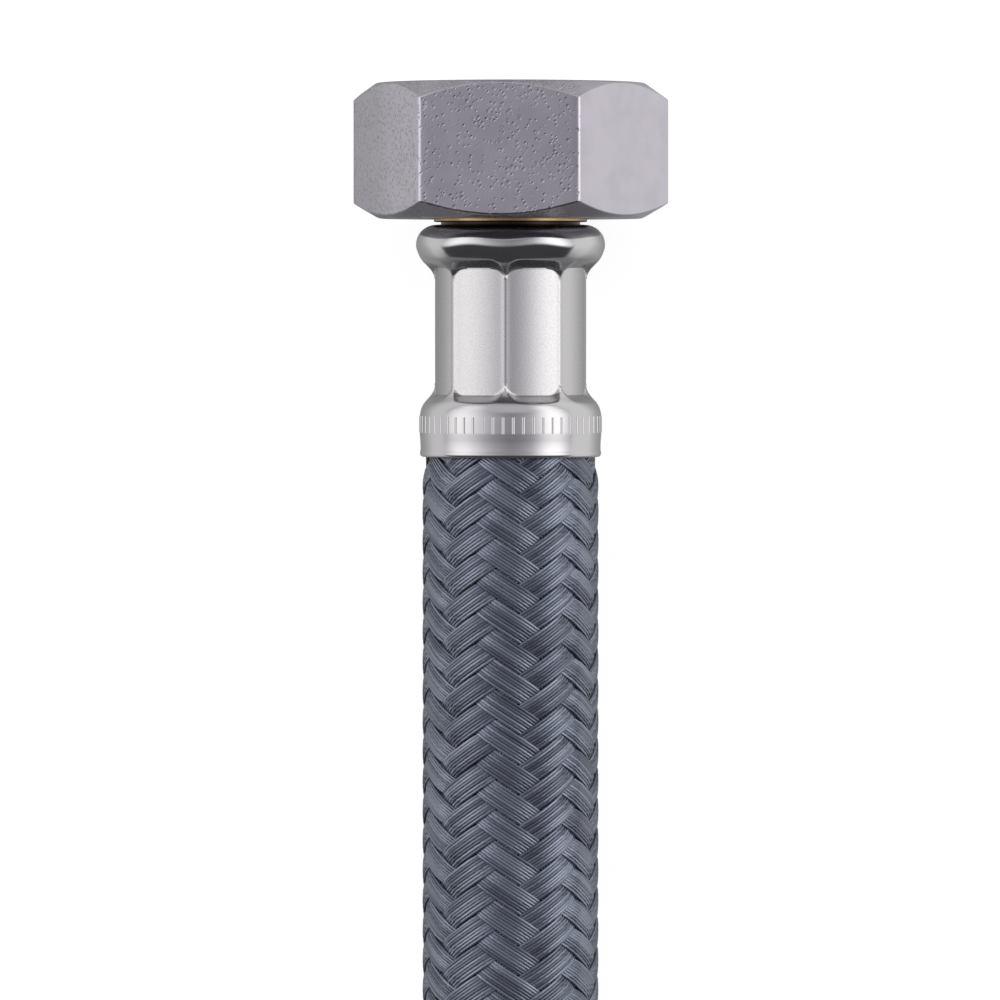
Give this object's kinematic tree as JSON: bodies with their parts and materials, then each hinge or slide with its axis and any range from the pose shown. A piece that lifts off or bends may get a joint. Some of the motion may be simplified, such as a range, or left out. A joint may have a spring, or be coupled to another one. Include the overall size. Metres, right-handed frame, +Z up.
{
  "type": "flexible supply hose",
  "caption": "Short straight water supply hose: rubber hose in a grey plastic braid, with a crimped steel ferrule and a hexagonal swivel nut at each end.",
  "frame": {"origin": "on the table, under the middle of the hose", "axes": "+Y along the hose towards end a, +Z up from the table, a flat of each nut down"},
  "size_m": [0.0346, 0.3, 0.03],
  "materials": {
    "nickel_nut": "nickel plated, lightly pitted",
    "seal": "matt black sealing sheet",
    "brass_insert": "turned brass",
    "steel_ferrule": "drawn stainless sheet, satin where pressed",
    "hose_rubber": "matt black rubber",
    "plastic_braid": "glossy grey plastic filaments"
  },
  "bodies": {
    "hose": {"inner_hose": "hose_rubber", "braided_sleeve": "plastic_braid", "hose_insert_a": "brass_insert", "hose_insert_b": "brass_insert", "crimp_ferrule_a": "steel_ferrule", "crimp_ferrule_b": "steel_ferrule", "sealing_washer_a": "seal", "sealing_washer_b": "seal"},
    "nut_a": {"swivel_nut_a": "nickel_nut"},
    "nut_b": {"swivel_nut_b": "nickel_nut"}
  },
  "joints": [
    {"name": "nut_a_swivel", "type": "hinge", "parent": "hose", "child": "nut_a", "pos_m": [0, 0.1383, 0.015], "axis": [0, 1, 0], "continuous": true},
    {"name": "nut_b_swivel", "type": "hinge", "parent": "hose", "child": "nut_b", "pos_m": [0, -0.1383, 0.015], "axis": [0, -1, 0], "continuous": true}
  ]
}
